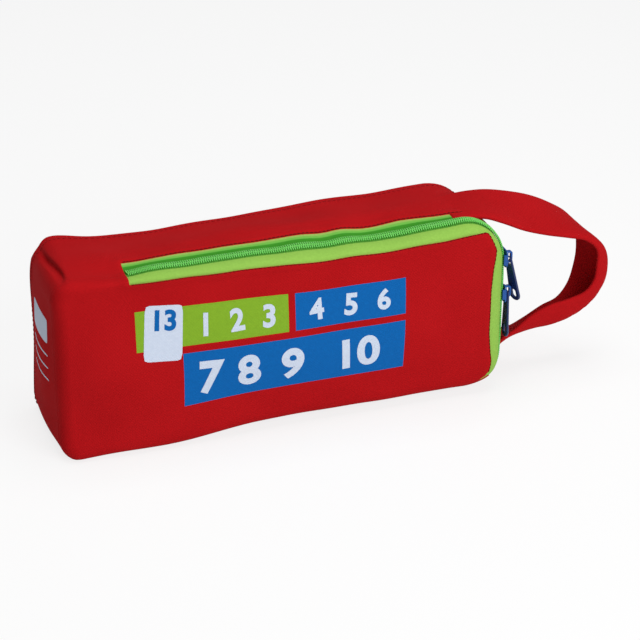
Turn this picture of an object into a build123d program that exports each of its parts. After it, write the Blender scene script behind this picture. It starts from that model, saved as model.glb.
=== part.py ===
from build123d import *
import math
import os

# Soft zip case for a set of game tiles. Millimetres, +Z up, front at -Y, carrying handle at +X.
# The origin is the centre of the underside.

# --- the sewn body ---------------------------------------------------------------------------
case_length = 270.0
case_depth = 75.0
case_height = 112.0
top_left_round = 15.0  # corners of the body seen from the front
bottom_left_round = 13.0
bottom_right_round = 25.0
top_right_round = 28.0
front_round = 8.0  # rounding along the edge of the front panel
back_round = 6.0
panel_wall = 2.0  # outer cloth, foam and lining together

# --- the zip ---------------------------------------------------------------------------------
chain_inset = 11.5  # from the front of the body back to the middle of the chain
zip_left_x = -94.0  # where the zip starts on the top
zip_end_z = 8.0  # where it ends on the handle end
tape_wall = 0.8
tape_recess = 0.4  # how far the tape lies under the face of the cloth
rear_tape_reach = 10.5  # from the middle of the chain to the cloth behind
front_tape_drop = 7.0  # cloth edge below the top
front_tape_side = 14.0  # cloth edge in from the handle end
front_cloth_corner = 6.0
chain_slot = 1.5  # free way between the two coils, for the sliders' wedges
coil_width = 2.65
coil_height = 1.6  # above the tape
coil_ease = 0.6

# --- the folding front -----------------------------------------------------------------------
fold_start_drop = 8.0  # the fold starts this far below the top, at the zip's left end
fold_gap = 0.4

# --- sliders and pulls -----------------------------------------------------------------------
slider_spacing = 22.5
slider_length = 11.0
slider_flange = 1.0
slider_plate = 1.1
slider_edge = 0.4
slider_clearance = 0.3
chain_bend_room = 0.35  # under the tape, for the bend of the chain round the corner
lower_plate_length = 9.5
flange_length = 8.0
nose_round = 2.6
tail_round = 1.6
nose_notch = 1.4
wedge_width = 0.8
wedge_length = 3.4
wedge_inset = 0.9  # from the nose
bridge_width = 2.0
bridge_length = 7.4
bridge_bar = 1.0
bridge_round = 1.6
notch_room = 1.2  # free room in the front tape beyond each slider's ends

pull_length = 30.0  # from its pivot to its tip
pull_wall = 1.4
pull_bar = 1.0  # the crossbar in the slider's bridge
pull_top_width = 5.0
pull_tip_round = 4.2
pull_eye_width = 3.3
pull_eye_length = 4.8
pull_hole_length = 5.2
pull_hole_width = 2.8
pull_hole_margin = 2.4
pull_edge = 0.4
upper_pull_lean = 11.5  # degrees: the upper pull lies over the lower slider
upper_pull_turn = 22.0  # and is turned in its loose eye, its face towards the front

# --- the handle ------------------------------------------------------------------------------
strap_width = 30.0
strap_wall = 3.0
strap_edge = 1.2
strap_front_inset = 17.0  # from the front of the body to the strap's front edge
strap_upper_run = [(-23, -2.4), (-1, -4.2), (41, -15), (69.5, -35)]  # from the top of the end
strap_lower_run = [(68, 45), (39, 30), (-5, 21)]  # from the foot of the end
strap_bends = [60.0, 50.0, 24.0, 22.0, 60.0]
sway_axis_out = 17.0  # beyond the end of the body
sway_gap = 0.4
tab_end_trim = 6.5  # the tabs stop this far short of the sway axis

# --- inside seams ----------------------------------------------------------------------------
binding_width = 8.0
binding_wall = 1.2

half_length = case_length / 2
half_depth = case_depth / 2
chain_y = -half_depth + chain_inset
front_seam_y = -half_depth + front_round
back_seam_y = half_depth - back_round
rear_cloth_y = chain_y + rear_tape_reach
strap_y = -half_depth + strap_front_inset + strap_width / 2
upper_slider_z = case_height - top_right_round
lower_slider_z = upper_slider_z - slider_spacing
sway_axis_x = half_length + sway_axis_out
tape_under = tape_recess + tape_wall
coil_top = coil_height - tape_recess
coil_far = chain_slot / 2 + coil_width
slider_half_width = coil_far + slider_clearance + slider_flange
plate_under = coil_top + slider_clearance
plate_top = plate_under + slider_plate
lower_plate_top = -(tape_under + slider_clearance + chain_bend_room)
turn = math.radians(upper_pull_turn)
eye_reach = pull_top_width / 2 * math.sin(turn) + pull_wall / 2 * math.cos(turn)
bar_reach = bridge_width / 2 * math.tan(turn) + pull_bar / 2 / math.cos(turn)
pivot_out = plate_top + slider_clearance + eye_reach
window_top = pivot_out + bar_reach + slider_clearance
reach = case_length * 1.5  # larger than the whole case, for cutting tools


def block(x0, x1, y0, y1, z0, z1):
    return Pos((x0 + x1) / 2, (y0 + y1) / 2, (z0 + z1) / 2) * Box(x1 - x0, y1 - y0, z1 - z0)


def slab(y0, y1):
    return block(-reach, reach, y0, y1, -reach, reach)


def prism(face, y0, y1):
    return extrude(Plane.XZ.offset(-y1) * face, y1 - y0)


def polygon(points):
    return make_face(Polyline(*points, close=True))


def outline(inset):
    """The body seen from the front, drawn in by inset."""
    x = half_length - inset
    low, high = inset, case_height - inset
    rounds = [bottom_left_round, bottom_right_round, top_right_round, top_left_round]
    points = [(-x, low), (x, low), (x, high), (-x, high)]
    return make_face(FilletPolyline(*points, radius=[r - inset for r in rounds], close=True))


def body(inset, ease=fillet):
    """The closed form of the case, drawn in by inset, its front and back edges eased."""
    form = prism(outline(inset), -half_depth + inset, half_depth - inset)
    form = ease(form.faces().sort_by(Axis.Y)[0].edges(), front_round - inset)
    return ease(form.faces().sort_by(Axis.Y)[-1].edges(), back_round - inset)


def ring(outer, inner, y0, y1):
    """A band round the straight part of the body, between two insets."""
    return prism(outline(outer), y0, y1) - prism(outline(inner), y0, y1)


def zip_sector():
    """Right of the zip's left end and above its foot."""
    return block(zip_left_x, reach, -reach, reach, zip_end_z, reach)


def flap_region(shift):
    """Right of the zip's left end and above the diagonal fold, drawn in by shift."""
    start = Vector(zip_left_x, case_height - fold_start_drop)
    along = (Vector(half_length, zip_end_z) - start).normalized()
    start += Vector(-along.Y, along.X) * shift
    left = zip_left_x + shift
    foot = start + along * ((left - start.X) / along.X)
    end = start + along * reach
    points = [(foot.X, foot.Y), (end.X, end.Y), (end.X, reach), (left, reach)]
    return prism(polygon(points), -reach, reach)


def end_wedge(side, top_round, low_round):
    """The end of the case, out to the seams in the middle of its rounded corners."""
    top = Vector(side * (half_length - top_round), case_height - top_round)
    low = Vector(side * (half_length - low_round), low_round)
    far_top = top + Vector(side, 1) * reach
    far_low = low + Vector(side, -1) * reach
    return prism(polygon([top, far_top, far_low, low]), -reach, reach)


def front_cloth():
    """The front cloth, inside the zip's front tape."""
    right = half_length - front_tape_side
    top = case_height - front_tape_drop
    points = [(-reach, -reach), (right, -reach), (right, top), (-reach, top)]
    face = make_face(FilletPolyline(*points, radius=[0, 0, front_cloth_corner, 0], close=True))
    return prism(face, -reach, front_seam_y)


def slider_notches():
    """Room in the front tape and coil for the sliders where they stand."""
    half = slider_length / 2 + notch_room
    x0 = half_length - top_right_round / 4
    y0 = chain_y - slider_half_width - slider_clearance
    return [block(x0, reach, y0, chain_y, z - half, z + half)
            for z in (upper_slider_z, lower_slider_z)]


def cloth_panels():
    shell = body(0) - body(panel_wall, ease=chamfer)  # seams and foam fill the inside corners
    gusset = shell & slab(front_seam_y, back_seam_y)
    gusset -= zip_sector() & slab(front_seam_y, rear_cloth_y)
    left_wedge = end_wedge(-1, top_left_round, bottom_left_round)
    right_wedge = end_wedge(1, top_right_round, bottom_right_round)
    between = gusset - left_wedge - right_wedge
    middle = case_height / 2
    front = shell & slab(-reach, front_seam_y)
    return {
        "back_panel": shell & slab(back_seam_y, reach),
        "left_end_panel": gusset & left_wedge,
        "right_end_panel": gusset & right_wedge,
        "top_panel": between & block(-reach, reach, -reach, reach, middle, reach),
        "bottom_panel": between & block(-reach, reach, -reach, reach, -reach, middle),
        "front_panel": front - flap_region(-fold_gap / 2),
        "front_flap_panel": (front & flap_region(fold_gap / 2)) & front_cloth(),
    }


def inside_bindings():
    """Cloth tape sewn over the raw seams, folded flat against the wall."""
    inner = panel_wall + binding_wall
    back = ring(panel_wall, inner, back_seam_y - binding_width, back_seam_y)
    front = ring(panel_wall, inner, front_seam_y, front_seam_y + binding_width) - zip_sector()
    return {"back_seam_binding": back, "front_seam_binding": front}


def coil_bead(y0, y1):
    """One half of the chain as an eased bead on its tape."""
    bead = prism(outline(-coil_top), y0, y1)
    for face in (bead.faces().sort_by(Axis.Y)[0], bead.faces().sort_by(Axis.Y)[-1]):
        bead = chamfer(bead.edges() & face.edges(), coil_ease)
    return bead - prism(outline(tape_recess), y0, y1)


def zip_halves():
    near = chain_y - chain_slot / 2
    far = chain_y + chain_slot / 2
    tape_skin = body(tape_recess) - body(tape_under)
    rear_tape = ring(tape_recess, tape_under, far, rear_cloth_y) & zip_sector()
    rear_coil = coil_bead(far, far + coil_width) & zip_sector()
    region = flap_region(fold_gap / 2)
    front_tape = ((tape_skin & slab(-reach, near)) & region) - front_cloth()
    front_coil = coil_bead(near - coil_width, near) & region
    for notch in slider_notches():
        front_tape -= notch
        front_coil -= notch
    return {
        "zipper_tape_rear": rear_tape,
        "zipper_coil_rear": rear_coil,
        "zipper_tape_front": front_tape,
        "zipper_coil_front": front_coil,
    }


def slider_body():
    """Nose along +X, the bag's face along XY, the bridge up +Z, at the middle of the chain."""
    half = slider_length / 2
    wide = 2 * slider_half_width
    face = Rectangle(slider_length, wide)
    corners = face.vertices().group_by(Axis.X)
    face = fillet(corners[-1], nose_round)
    face = fillet(face.vertices().group_by(Axis.X)[0], tail_round)
    notch = polygon([(half - nose_notch, 0), (half, -nose_notch), (half, nose_notch)])
    top = extrude(Pos(0, 0, plate_under) * (face - notch), slider_plate)
    top = chamfer(top.faces().sort_by(Axis.Z)[-1].edges(), slider_edge)
    low_face = RectangleRounded(lower_plate_length, wide - slider_flange, tail_round)
    low = extrude(Pos(0, 0, lower_plate_top) * low_face, -slider_plate)
    flange_low = slider_clearance - tape_recess
    flange_y = slider_half_width - slider_flange / 2
    flange_x = -half + tail_round + flange_length / 2
    flange_tall = plate_under + slider_plate / 2 - flange_low
    parts = [top, low]
    for side in (-1, 1):
        flange = Box(flange_length - tail_round, slider_flange, flange_tall)
        parts.append(Pos(flange_x, side * flange_y, flange_low + flange_tall / 2) * flange)
    wedge = SlotOverall(wedge_length, wedge_width)
    wedge_x = half - nose_notch - wedge_inset - wedge_length / 2
    parts.append(extrude(Pos(wedge_x, 0, lower_plate_top - slider_plate / 2) * wedge,
                         plate_under - lower_plate_top + slider_plate))
    arch = bridge_profile(bridge_length, window_top + bridge_bar, bridge_round)
    window = bridge_profile(bridge_length - 2 * bridge_bar, window_top, bridge_round - bridge_bar / 2)
    parts.append(extrude(Plane.XZ * (arch - window), bridge_width / 2, both=True))
    solid = parts[0]
    for piece in parts[1:]:
        solid += piece
    return solid


def bridge_profile(length, top, corner):
    low = plate_top - slider_plate / 2
    points = [(-length / 2, low), (length / 2, low), (length / 2, top), (-length / 2, top)]
    return make_face(FilletPolyline(*points, radius=[0, 0, corner, corner], close=True))


def pull():
    """Hanging along +X from its crossbar on the Y axis, its face along XY."""
    top_edge = Line((0, -pull_top_width / 2), (0, pull_top_width / 2))
    tip = Pos(pull_length - pull_tip_round, 0) * Circle(pull_tip_round)
    face = make_hull(tip.edges() + ShapeList([top_edge]))
    eye_foot = pull_bar / 2 + pull_eye_length
    face -= Pos(eye_foot / 2, 0) * Rectangle(eye_foot, pull_eye_width)
    hole_middle = pull_length - pull_hole_margin - pull_hole_length / 2
    face -= Pos(hole_middle, 0) * SlotOverall(pull_hole_length, pull_hole_width)
    plate = extrude(face, pull_wall / 2, both=True)
    rims = plate.faces().filter_by(Axis.Z).edges()
    plate = chamfer(rims.filter_by(lambda e: e.center().X > eye_foot), pull_edge)
    bar = Rot(90, 0, 0) * Cylinder(pull_bar / 2, pull_top_width)
    return plate + bar


def sliders_and_pulls():
    pieces = {}
    for name, z, nose, lean, turned in (
            ("upper", upper_slider_z, -1, upper_pull_lean, upper_pull_turn),
            ("lower", lower_slider_z, 1, 0.0, 0.0)):
        seat = Plane(origin=(half_length, chain_y, z), x_dir=(0, 0, nose), z_dir=(1, 0, 0))
        pieces[f"{name}_slider"] = seat * slider_body()
        hook = Plane(origin=(half_length + pivot_out, chain_y, z), x_dir=(0, 0, -1), z_dir=(1, 0, 0))
        pieces[f"{name}_pull"] = hook * (Rot(0, -lean, 0) * (Rot(-turned, 0, 0) * pull()))
    return pieces


def handle():
    points = [(half_length + x, case_height + z) for x, z in strap_upper_run]
    points += [(half_length + x, z) for x, z in strap_lower_run]
    route = Plane.XZ.offset(-strap_y) * FilletPolyline(*points, radius=strap_bends)
    start = Plane(origin=route @ 0, x_dir=(0, 1, 0), z_dir=route % 0)
    section = chamfer(Rectangle(strap_width, strap_wall).vertices(), strap_edge)
    strap = sweep(start * section, route)
    turn = Pos(sway_axis_x, strap_y, 0) * Cylinder(strap_width / 2, 2 * reach)
    clear = Pos(sway_axis_x, strap_y, 0) * Cylinder(strap_width / 2 + sway_gap, 2 * reach)
    beyond = block(sway_axis_x, reach, -reach, reach, -reach, reach)
    loop = (strap & beyond) + (strap & turn)
    tabs = strap & block(-reach, sway_axis_x - tab_end_trim, -reach, reach, -reach, reach)
    tabs = (tabs - clear) - body(0)
    roots = tabs.solids().sort_by(Axis.Z)
    return {"handle_loop": loop, "handle_root_lower": roots[0], "handle_root_upper": roots[-1]}


def main():
    os.makedirs("parts", exist_ok=True)
    pieces = {**cloth_panels(), **inside_bindings(), **zip_halves(), **sliders_and_pulls(), **handle()}
    for name, shape in pieces.items():
        export_step(shape, f"parts/{name}.step")


main()
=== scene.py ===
import math

import bmesh
import bpy
import numpy as np
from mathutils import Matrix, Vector


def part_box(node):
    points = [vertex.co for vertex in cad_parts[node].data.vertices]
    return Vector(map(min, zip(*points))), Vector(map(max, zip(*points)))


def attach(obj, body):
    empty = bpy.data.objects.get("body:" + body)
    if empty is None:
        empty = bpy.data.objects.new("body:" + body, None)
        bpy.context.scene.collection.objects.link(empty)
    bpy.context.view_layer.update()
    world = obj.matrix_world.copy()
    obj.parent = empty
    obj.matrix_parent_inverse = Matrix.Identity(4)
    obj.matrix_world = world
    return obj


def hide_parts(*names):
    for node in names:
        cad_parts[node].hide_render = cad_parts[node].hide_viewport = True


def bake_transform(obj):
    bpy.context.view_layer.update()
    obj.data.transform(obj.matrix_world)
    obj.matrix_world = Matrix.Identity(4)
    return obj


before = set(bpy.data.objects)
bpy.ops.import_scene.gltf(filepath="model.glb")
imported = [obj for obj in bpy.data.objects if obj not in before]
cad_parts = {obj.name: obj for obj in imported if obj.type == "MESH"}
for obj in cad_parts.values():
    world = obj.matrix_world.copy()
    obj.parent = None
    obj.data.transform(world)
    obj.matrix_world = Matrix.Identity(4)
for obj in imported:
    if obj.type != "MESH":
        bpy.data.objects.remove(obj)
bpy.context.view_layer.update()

# A soft zip case for game tiles. Every dictionary below is in millimetres, the meshes in metres.
# The cloth, the tape and the chain are laid out on the plain rounded body first, and one function,
# soften, then moves all of them together, so they stay sewn to each other.
mm = 0.001


def nodeBox(name):
    low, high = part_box(name)
    return np.array(low) / mm, np.array(high) / mm


backHigh = nodeBox("back_panel")[1]
frontLow = nodeBox("front_panel")[0]
flapHigh = nodeBox("front_flap_panel")[1]
rearTapeHigh = nodeBox("zipper_tape_rear")[1]
rearCoilLow = nodeBox("zipper_coil_rear")[0]
frontCoilHigh = nodeBox("zipper_coil_front")[1]

bag = {
    "halfLength": backHigh[0],
    "height": backHigh[2],
    "front": frontLow[1],
    "back": backHigh[1],
    "topLeft": 15,
    "bottomLeft": 13,
    "bottomRight": 25,
    "topRight": 28,
    "frontRound": 8,
    "backRound": 6,
    "wall": 2,
    "cell": 2.8,
}
zipWay = {
    "left": rearCoilLow[0],
    "foot": rearCoilLow[2] - 7,  # the cloth round it sags
    "middle": (rearCoilLow[1] + frontCoilHigh[1]) / 2,
    "rearCloth": rearTapeHigh[1],
    "clothTop": flapHigh[2],
    "clothSide": flapHigh[0],
    "tapeSink": 0.4,
    "tapeWall": 0.8,
    "tapeUnder": 1.6,  # the tape runs on this far under the cloth
}


def smooth(value, low, high):
    t = np.clip((value - low) / (high - low), 0, 1)
    return t * t * (3 - 2 * t)


def hump(value, middle, half):
    return smooth(np.abs(value - middle), half, 0)


def gridLines(stops, cell):
    lines = []
    for low, high in zip(stops, stops[1:]):
        count = max(1, math.ceil((high - low) / cell - 1e-6))
        lines += [low + (high - low) * i / count for i in range(count)]
    return np.array(lines + [stops[-1]])


def unit(vectors):
    return vectors / np.linalg.norm(vectors, axis=-1, keepdims=True)


# how far along a line of points each of them lies
def lengthAlong(points):
    return np.concatenate([[0], np.cumsum(np.linalg.norm(np.diff(points, axis=0), axis=1))])


def sampleLine(at, length, values):
    return np.stack([np.interp(at, length, values[:, i]) for i in range(3)], 1)


def newPiece(name, points, faces, materials, uvs=None, kinds=None, flat=False):
    mesh = bpy.data.meshes.new(name)
    mesh.from_pydata([tuple(p) for p in np.asarray(points) * mm], [], faces)
    for material in materials:
        mesh.materials.append(material)
    if kinds is not None:
        mesh.polygons.foreach_set("material_index", kinds)
    if uvs is not None:
        layer = mesh.uv_layers.new(name="cloth")
        layer.data.foreach_set("uv", (np.asarray(uvs, float) * mm).ravel())
    mesh.polygons.foreach_set("use_smooth", [not flat] * len(faces))
    mesh.update()
    piece = bpy.data.objects.new(name, mesh)
    bpy.context.scene.collection.objects.link(piece)
    return piece


# Spots of a box, laid on the rounded body: where each lands, the way out of the cloth there, and
# how far in from the edge it is. With flatFront the front keeps its own place at the zip's corner.
def roundedBody(box, flatFront=False):
    box = np.asarray(box, float)
    half, height = bag["halfLength"], bag["height"]
    x, y, z = box[:, 0].copy(), box[:, 1].copy(), box[:, 2].copy()
    gaps = np.stack([x + half, half - x, z, height - z], 1)
    nearest = gaps.argmin(1)
    inside = gaps.min(1)
    inward = np.array([(1, 0), (-1, 0), (0, 1), (0, -1)], float)[nearest]
    corners = (("bottomLeft", -1, -1), ("bottomRight", 1, -1), ("topRight", 1, 1), ("topLeft", -1, 1))
    for name, sideX, sideZ in corners:
        r = bag[name]
        cx = sideX * (half - r)
        cz = r if sideZ < 0 else height - r
        a, b = (x - cx) * sideX, (z - cz) * sideZ
        pick = (a > 0) & (b > 0)
        a, b = a[pick], b[pick]
        reach = np.hypot(a, b)
        size = reach if flatFront and name == "topRight" else np.maximum(a, b)
        a, b = a / reach, b / reach
        x[pick], z[pick] = cx + sideX * a * size, cz + sideZ * b * size
        inside[pick] = r - size
        inward[pick] = np.stack([-a * sideX, -b * sideZ], 1)
    outX, outZ = x - inward[:, 0] * inside, z - inward[:, 1] * inside
    normal = np.zeros_like(box)
    normal[:, 0], normal[:, 2] = -inward[:, 0], -inward[:, 1]
    place = np.stack([outX, y, outZ], 1)
    for face, side, r in ((bag["front"], -1, bag["frontRound"]), (bag["back"], 1, bag["backRound"])):
        deep = np.abs(y - face)
        pick = deep < r
        along = inside[pick] - deep[pick]
        turn = np.clip(math.pi / 4 * (1 + along / r), 0, math.pi / 2)
        draw = np.where(along >= r, inside[pick], r * (1 - np.cos(turn)))
        place[pick, 0] = outX[pick] + inward[pick, 0] * draw
        place[pick, 2] = outZ[pick] + inward[pick, 1] * draw
        place[pick, 1] = face - side * r * (1 - np.sin(turn))
        normal[pick, 0] = -inward[pick, 0] * np.cos(turn)
        normal[pick, 2] = -inward[pick, 1] * np.cos(turn)
        normal[pick, 1] = side * np.sin(turn)
    return place, normal, inside


# How the filled, sewn case departs from the plain form: a spot on that form, and how far the cloth has
# moved there. A smooth field runs through them all. Spots that don't move keep the sliders' way true.
def alongX(y, z, moves):
    return [(x, y, z, dx, dy, dz) for x, dx, dy, dz in moves]


shapeNotes = alongX(36, 110.5, [  # the edge of the back, which has sunk
    (-118, 0.5, -1.2, -1.3), (-100, 0.5, -3.8, -3.0), (-60, 0, -6.3, -4.7), (-15, 0, -5.2, -3.9), (5, 0, -3.7, -2.8),
    (30, 0, -2.9, -2.2), (75, 0, -2.9, -2.2), (95, 0, -2.0, -1.5), (115, 0, -1.6, -1.2)])
shapeNotes += alongX(10, 112, [(-92, 0, 0, -2.6), (-40, 0, 0, -2.4), (20, 0, 0, -1.6), (70, 0, 0, -1.0)])
shapeNotes += alongX(-15.5, 112, [  # the cloth's edge behind the zip
    (-94, 0, 1.0, -1.8), (-55, 0, 2.0, -1.3), (-28, 0, 2.3, -1.2), (0, 0, 2.5, -1.1), (20, 0, 2.5, -1.0),
    (40, 0, 2.5, -1.0), (75, 0, 1.5, -0.5)])
for chainEdge in (-22.3, -29.7):
    shapeNotes += alongX(chainEdge, 112, [
        (-94, 0, 2.5, -3.9), (-55, 0, 2.6, -3.1), (-28, 0, 2.7, -2.8), (0, 0, 2.8, -3.3), (28, 0, 2.8, -4.1),
        (50, 0, 2.8, -4.1), (75, 0, 1.8, -3.2), (100, 0, 0, -0.9)])
shapeNotes += alongX(-37.5, 105, [  # the cloth's edge before it
    (-94, 0, 4.0, 0.8), (-55, 0, 3.0, 1.0), (-25, 0, 2.3, 0.8), (0, 0, 1.6, 0.2), (40, 0, 1.5, -0.6), (77, 0, 0.5, 0.2),
    (105, 0, 0, 1.0)])
shapeNotes += alongX(-37.5, 55, [  # the front swells
    (-112, 0, 1.2, 0), (-75, 0, -0.8, 0), (-30, 0, -1.8, 0), (15, 0, -2.0, 0), (60, 0, -1.6, 0),
    (100, 0, -0.6, 0)])
shapeNotes += alongX(-35.2, 2.3, [  # and its foot turns up
    (-99, 0, 0, 0), (-66, 0, 0, 0), (-39, 0, 1.5, 1.9), (-20, 0, 2.6, 3.4), (10, 0, 3.0, 3.8),
    (45, 0, 3.0, 3.8), (80, 0, 3.0, 3.8)])
shapeNotes += alongX(37.5, 55, [(-80, 0, 1.0, 0), (-20, 0, 2.6, 0), (40, 0, 2.6, 0), (95, 0, 0.8, 0)])
shapeNotes += [
    (127.7, -35, 7.3, 0.6, 1.5, 1.6), (116, -35, 1.5, 0, 2.6, 3.4), (134, -34, 22, -1.2, 0, 0),
    (130, -26, 10, 0, 0, 0.8), (127.7, 34, 7.3, -2.0, 0, 2.0),  # the foot of the handle end
    (-130.6, 35, 107.6, 4.8, -1.5, -3.9), (-130.6, 0, 107.6, 3.6, 0, -0.6),  # the top of the left end
    (-134, 36, 92, 4.3, 0, 0), (-134, 36, 72, 4.0, 0, 0), (-134, 36, 50, 4.2, 0, 0), (-134, 36, 28, 2.8, 0, 0),
    (-132.7, -35.2, 86, 4.6, 5.0, 0), (-132.7, -35.2, 56, 4.6, 6.0, 0), (-132.7, -35.2, 26, 4.6, 5.0, 1.0),
    (-135, 0, 50, 1.0, 0, 0), (-131, -34, 4, 3.0, 1.0, -0.8), (-131, 0, 4, 1.5, 0, -2.4),
    (-131, 32, 4, 1.5, 0, -2.0),
]
shapeNotes += [(x, -26, z, 0, 0, 0) for x, z in (
    (114, 111.1), (126.8, 103.8), (133.6, 93), (135, 80), (135, 66), (135, 50), (135, 36))]
shapeNotes += [(134, -34.5, z, -1.6, 0, 0) for z in (84, 62, 42)]
shapeNotes += [(112, -5, 112, 0, 0, 0), (130, -5, 108, 0, 0, 0)]
shapeNotes += [(135, 5, z, 0, 0, 0) for z in (75, 40)] + [(135, -5, 20, -1, 0, 0)]
shapeReach = 80.0
shapeSpots = np.array([note[:3] for note in shapeNotes], float)
shapeMoves = np.array([note[3:] for note in shapeNotes], float)


def fading(distance):
    t = np.clip(distance / shapeReach, 0, 1)
    return (1 - t) ** 4 * (4 * t + 1)


shapeWeights = np.linalg.solve(
    fading(np.linalg.norm(shapeSpots[:, None] - shapeSpots[None], axis=2)) + 0.002 * np.eye(len(shapeSpots)),
    shapeMoves)
wear = {"crease": 3.4, "creaseAt": 1.0, "creaseBend": 4.5, "creaseWidth": 3.8, "creaseFade": 0.85,
        "lip": 0.4, "lipGap": 6.5, "lipWidth": 5.5, "lean": 0.7, "zipShort": 5.7, "zipReach": 26, "ripple": 0.35}


def soften(points):
    points = np.array(points, float)
    moved = points + fading(np.linalg.norm(points[:, None] - shapeSpots[None], axis=2)) @ shapeWeights
    x, y, z = points[:, 0], points[:, 1], points[:, 2]
    half, height = bag["halfLength"], bag["height"]
    moved[:, 2] = np.maximum(moved[:, 2], 0)  # it stands on its foot, and doesn't sink below it
    deep = (bag["back"] - y) / (bag["back"] - bag["front"])  # 0 at the back, 1 at the front
    # a crease runs along the rounding between the top and the left end, and dies out at the front
    r = bag["topLeft"]
    cx, cz = r - half, height - r
    angle = np.arctan2(np.maximum(z - cz, 0), np.maximum(cx - x, 1e-6))
    around = r * (angle - math.pi / 4) + np.maximum(x - cx, 0) - np.maximum(cz - z, 0)
    creaseAt = wear["creaseAt"] + wear["creaseBend"] * smooth(-y, -20, 26)
    reach = smooth(y, -34, -14) * smooth(bag["back"] - y, 0, 5) * (1 - wear["creaseFade"] * smooth(y, 10, 33))
    reach *= smooth(z, cz - 30, cz - 10)
    strength = hump(around, creaseAt, wear["creaseWidth"]) * reach
    lip = hump(around, creaseAt - wear["lipGap"], wear["lipWidth"]) * reach
    draw = wear["crease"] * strength - wear["lip"] * lip
    moved[:, 0] += wear["lean"] * draw
    moved[:, 2] -= wear["lean"] * draw
    # the zip stops a little short at its left end
    short = hump(x, zipWay["left"], wear["zipReach"]) * smooth(z, 88, 103) * smooth(-y, 2, 14)
    moved[:, 0] += wear["zipShort"] * short
    # low ripples, but not where the sliders run
    still = (1 - smooth(x, 60, 100)) * smooth(half - np.abs(x), -1, 12) * (1 - smooth(-y, -4, 12) * smooth(z, 84, 104))
    wave = np.sin(x / 13.0 + z / 31.0) * np.sin(z / 17.0 - x / 41.0 + y / 23.0)
    wave += 0.6 * np.sin(x / 29.0 - z / 11.0 + 1.3) * np.sin(y / 15.0 + x / 37.0)
    moved[:, 1] -= wear["ripple"] * wave * still * (smooth(deep, 0.8, 1) - (1 - smooth(deep, 0, 0.2)))
    moved[:, 2] += wear["ripple"] * wave * still * smooth(z / height, 0.85, 1)
    return moved


def windowGap(box):
    x, y, z = box[:, 0], box[:, 1], box[:, 2]
    onFront = y < bag["front"] + 1e-6
    leftGap = np.maximum(zipWay["left"] - x, 0)
    footGap = np.maximum(zipWay["foot"] - z, 0)
    topStrip = np.hypot(leftGap, np.maximum(zipWay["clothTop"] - z, 0))
    sideStrip = np.hypot(footGap, np.maximum(zipWay["clothSide"] - x, 0))
    behind = np.maximum(y - zipWay["rearCloth"], 0)
    onTop = z > bag["height"] - 1e-6
    onRight = x > bag["halfLength"] - 1e-6
    gap = np.where(onFront, np.minimum(topStrip, sideStrip), 99.0)
    gap = np.where(~onFront & onTop, np.minimum(gap, np.hypot(leftGap, behind)), gap)
    gap = np.where(~onFront & onRight, np.minimum(gap, np.hypot(footGap, behind)), gap)
    return gap


hem = {"rise": 0.7, "width": 6.0, "flat": 2.4, "edge": 1.3, "atEdge": 0.3}


def clothLift(box):
    gap = windowGap(box)
    risen = hem["rise"] * smooth(box[:, 2], zipWay["foot"] - 2, zipWay["foot"] + 12)  # flush below the zip's foot
    turnedIn = hem["atEdge"] + (1 - hem["atEdge"]) * smooth(gap, 0, hem["edge"])
    return risen * smooth(gap, hem["width"], hem["flat"]) * turnedIn


# the grid that all cloth is cut from
half, height = bag["halfLength"], bag["height"]
left, foot = zipWay["left"], zipWay["foot"]
side, top, rear, middle = (zipWay[k] for k in ("clothSide", "clothTop", "rearCloth", "middle"))
seamY = bag["front"] + bag["frontRound"]
backSeamY = bag["back"] - bag["backRound"]
# printed blocks of the front: ink, then where each lies, in x and in z
printBlocks = [("green", -86.0, 1.0, 64.0, 85.5), ("blue", 5.0, 71.0, 64.0, 85.5),
               ("blue", -61.0, 71.0, 27.0, 60.0)]
# it is finer along the hems and the seams, and where the cloth is creased
hemSteps = (6, 2.6, 1.4, 0.6, 0)
stopsX = [-half, -half + bag["frontRound"], half - bag["frontRound"] + 2, half]
stopsX += [edge - step for edge in (left, side) for step in hemSteps]
stopsX += [x for block in printBlocks for x in block[1:3]] + list(np.arange(-133.6, -117.0, 1.3))
stopsZ = [0, 20, height] + [foot - step for step in hemSteps[1:]] + [top - step for step in hemSteps]
stopsZ += [z for block in printBlocks for z in block[3:5]] + list(np.arange(97.0, 111.5, 1.3))
stopsY = [bag["front"], seamY - 0.3, seamY, middle - 0.3, middle + 0.3, bag["back"]]
stopsY += [rear + step for step in hemSteps] + [backSeamY + step for step in (-1.6, -0.6, 0, 0.6, 1.6)]
gridX, gridY, gridZ = (gridLines(sorted(set(stops)), bag["cell"]) for stops in (stopsX, stopsY, stopsZ))

# the front cloth's edge along the zip, as it was cut: how far it leaves the straight lines
clothCut = {
    "corner": 2,
    "reach": 20,
    "side": [(3, 9.5), (10, 9.3), (17, 7.8), (28, 6.3), (41, 5.3), (70, 5.5), (84, 6.6), (94, 8.6), (105, 3.0)],
    "top": [(95, 0), (106, 1.0), (121, 3.0)],
}


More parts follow.
